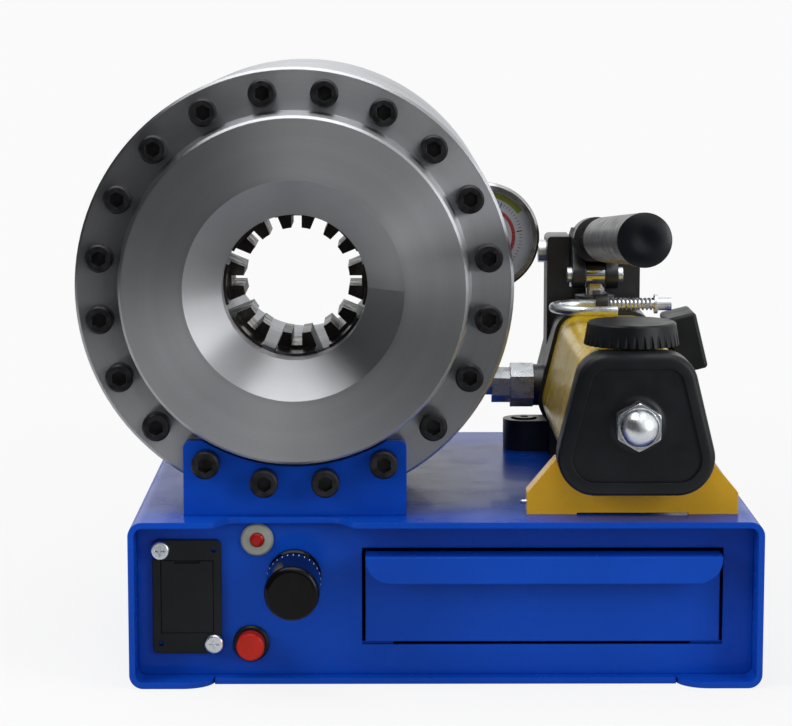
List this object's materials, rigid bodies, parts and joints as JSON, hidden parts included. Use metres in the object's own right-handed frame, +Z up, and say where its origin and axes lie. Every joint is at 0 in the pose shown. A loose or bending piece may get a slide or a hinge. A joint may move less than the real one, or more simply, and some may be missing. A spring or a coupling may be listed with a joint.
{
  "type": "hose crimping machine",
  "caption": "Bench hose crimper: round steel head with radial jaws, hand pump with handle and gauge, on a sheet-metal cabinet with a tool drawer.",
  "frame": {"origin": "middle of the cabinet's underside, on the floor", "axes": "+X to the operator's right, +Y to the back along the head's bore, +Z up"},
  "size_m": [0.391, 0.3993, 0.351],
  "materials": {
    "blue_paint": "gloss powder coat",
    "turned_steel": "turned, satin",
    "jaw_steel": "hardened, darkened by oil",
    "black_oxide": "black oxide",
    "black_casting": "satin black coat",
    "black_moulding": "satin moulded",
    "gloss_black": "polished",
    "grip_rubber": "smooth",
    "yellow_paint": "gloss powder coat",
    "zinc_plate": "bright zinc",
    "chrome_plate": "polished",
    "gauge_steel": "polished stainless",
    "dial_white": "printed dial",
    "pointer_black": "satin",
    "window_glass": "clear",
    "lamp_grey": "satin",
    "lamp_red": "clear red",
    "button_red": "gloss",
    "spring_steel": "bright wire",
    "seal_rubber": "moulded",
    "battery_wrap": "foil sleeve"
  },
  "bodies": {
    "frame": {"cabinet_shell": "blue_paint", "bottom_plate": "blue_paint", "front_panel": "blue_paint", "rear_panel": "blue_paint", "drawer_runners": "blue_paint", "front_bracket": "blue_paint", "rear_bracket": "blue_paint", "front_housing": "turned_steel", "rear_housing": "turned_steel", "inner_sleeve": "turned_steel", "head_screws": "black_oxide", "pump_screws": "black_oxide", "pump_head": "black_casting", "battery_box": "black_moulding", "tank_end_cap": "black_moulding", "button_bezel": "black_moulding", "dial_sleeve": "gloss_black", "pump_tank": "yellow_paint", "front_foot": "yellow_paint", "battery_box_screws": "zinc_plate", "acorn_nut": "zinc_plate", "supply_nipple": "zinc_plate", "union_nut": "zinc_plate", "pivot_pin": "zinc_plate", "gauge_manifold": "zinc_plate", "tie_rod": "zinc_plate", "gauge_case": "gauge_steel", "gauge_bezel": "gauge_steel", "gauge_dial": "dial_white", "gauge_glass": "window_glass", "lamp_bezel": "lamp_grey", "lamp_lens": "lamp_red", "jaw_springs": "spring_steel", "lock_spring": "spring_steel"},
    "drawer": {"drawer": "blue_paint"},
    "battery_tray": {"battery_tray": "black_moulding", "batteries": "battery_wrap"},
    "red_button": {"red_button": "button_red"},
    "size_knob": {"size_knob": "gloss_black"},
    "stop_nut": {"stop_nut": "zinc_plate"},
    "piston": {"ring_piston": "turned_steel", "piston_seals": "seal_rubber"},
    "gauge_pointer": {"gauge_pointer": "pointer_black"},
    "handle": {"lever": "black_casting", "handle_tube": "chrome_plate", "handle_grip": "grip_rubber"},
    "plunger": {"plunger": "chrome_plate", "plunger_pin": "zinc_plate"},
    "release_knob": {"release_knob": "black_moulding"},
    "filler_cap": {"filler_cap": "black_moulding"},
    "lock_bail": {"lock_bail": "zinc_plate"},
    "jaw_1": {"jaw_1": "jaw_steel"},
    "jaw_2": {"jaw_2": "jaw_steel"},
    "jaw_3": {"jaw_3": "jaw_steel"},
    "jaw_4": {"jaw_4": "jaw_steel"},
    "jaw_5": {"jaw_5": "jaw_steel"},
    "jaw_6": {"jaw_6": "jaw_steel"},
    "jaw_7": {"jaw_7": "jaw_steel"},
    "jaw_8": {"jaw_8": "jaw_steel"}
  },
  "joints": [
    {"name": "drawer_slide", "type": "slide", "parent": "frame", "child": "drawer", "axis": [0, -1, 0], "range_m": [0, 0.2]},
    {"name": "battery_tray_slide", "type": "slide", "parent": "frame", "child": "battery_tray", "axis": [0, -1, 0], "range_m": [0, 0.04]},
    {"name": "button_press", "type": "slide", "parent": "frame", "child": "red_button", "axis": [0, 1, 0], "range_m": [0, 0.003], "stiffness_N_per_m": 400},
    {"name": "size_knob_turn", "type": "hinge", "parent": "frame", "child": "size_knob", "pos_m": [-0.0865, -0.14, 0.0615], "axis": [0, 1, 0], "range_deg": [0, 1800]},
    {"name": "stop_nut_slide", "type": "slide", "parent": "frame", "child": "stop_nut", "axis": [0, 1, 0], "range_m": [0, 0.00501]},
    {"name": "piston_slide", "type": "slide", "parent": "frame", "child": "piston", "axis": [0, -1, 0], "range_m": [0, 0.0275], "stiffness_N_per_m": 4000, "deforming": ["jaw_springs"]},
    {"name": "jaw_1_slide", "type": "slide", "parent": "frame", "child": "jaw_1", "axis": [-1, 0, 0], "range_m": [0, 0.01011]},
    {"name": "jaw_2_slide", "type": "slide", "parent": "frame", "child": "jaw_2", "axis": [-0.7071, 0, -0.7071], "range_m": [0, 0.01011]},
    {"name": "jaw_3_slide", "type": "slide", "parent": "frame", "child": "jaw_3", "axis": [0, 0, -1], "range_m": [0, 0.01011]},
    {"name": "jaw_4_slide", "type": "slide", "parent": "frame", "child": "jaw_4", "axis": [0.7071, 0, -0.7071], "range_m": [0, 0.01011]},
    {"name": "jaw_5_slide", "type": "slide", "parent": "frame", "child": "jaw_5", "axis": [1, 0, 0], "range_m": [0, 0.01011]},
    {"name": "jaw_6_slide", "type": "slide", "parent": "frame", "child": "jaw_6", "axis": [0.7071, 0, 0.7071], "range_m": [0, 0.01011]},
    {"name": "jaw_7_slide", "type": "slide", "parent": "frame", "child": "jaw_7", "axis": [0, 0, 1], "range_m": [0, 0.01011]},
    {"name": "jaw_8_slide", "type": "slide", "parent": "frame", "child": "jaw_8", "axis": [-0.7071, 0, 0.7071], "range_m": [0, 0.01011]},
    {"name": "handle_swing", "type": "hinge", "parent": "frame", "child": "handle", "pos_m": [0.102, 0.119, 0.224], "axis": [-1, 0, 0], "range_deg": [0, 40]},
    {"name": "plunger_slide", "type": "slide", "parent": "frame", "child": "plunger", "axis": [0, 0, 1], "range_m": [0, 0.0248]},
    {"name": "release_knob_turn", "type": "hinge", "parent": "frame", "child": "release_knob", "pos_m": [0.14232, 0.09, 0.164], "axis": [0.9713, 0, 0.238], "range_deg": [0, 90]},
    {"name": "filler_cap_turn", "type": "hinge", "parent": "frame", "child": "filler_cap", "pos_m": [0.1072, -0.1175, 0.187], "axis": [0, 0, 1], "range_deg": [0, 360]},
    {"name": "gauge_pointer_turn", "type": "hinge", "parent": "frame", "child": "gauge_pointer", "pos_m": [0.031, 0.096, 0.235], "axis": [0, 1, 0], "range_deg": [0, 270], "stiffness_Nm_per_rad": 0.002},
    {"name": "lock_bail_slide", "type": "slide", "parent": "frame", "child": "lock_bail", "axis": [-1, 0, 0], "range_m": [0, 0.008], "stiffness_N_per_m": 800, "deforming": ["lock_spring"]}
  ],
  "couplings": [
    {"joint": "stop_nut_slide", "follows": "size_knob_turn", "m_per_rad": 0.00015915},
    {"joint": "plunger_slide", "follows": "handle_swing", "m_per_rad": 0.035452},
    {"joint": "jaw_1_slide", "follows": "piston_slide", "ratio": 0.36397},
    {"joint": "jaw_2_slide", "follows": "piston_slide", "ratio": 0.36397},
    {"joint": "jaw_3_slide", "follows": "piston_slide", "ratio": 0.36397},
    {"joint": "jaw_4_slide", "follows": "piston_slide", "ratio": 0.36397},
    {"joint": "jaw_5_slide", "follows": "piston_slide", "ratio": 0.36397},
    {"joint": "jaw_6_slide", "follows": "piston_slide", "ratio": 0.36397},
    {"joint": "jaw_7_slide", "follows": "piston_slide", "ratio": 0.36397},
    {"joint": "jaw_8_slide", "follows": "piston_slide", "ratio": 0.36397}
  ]
}
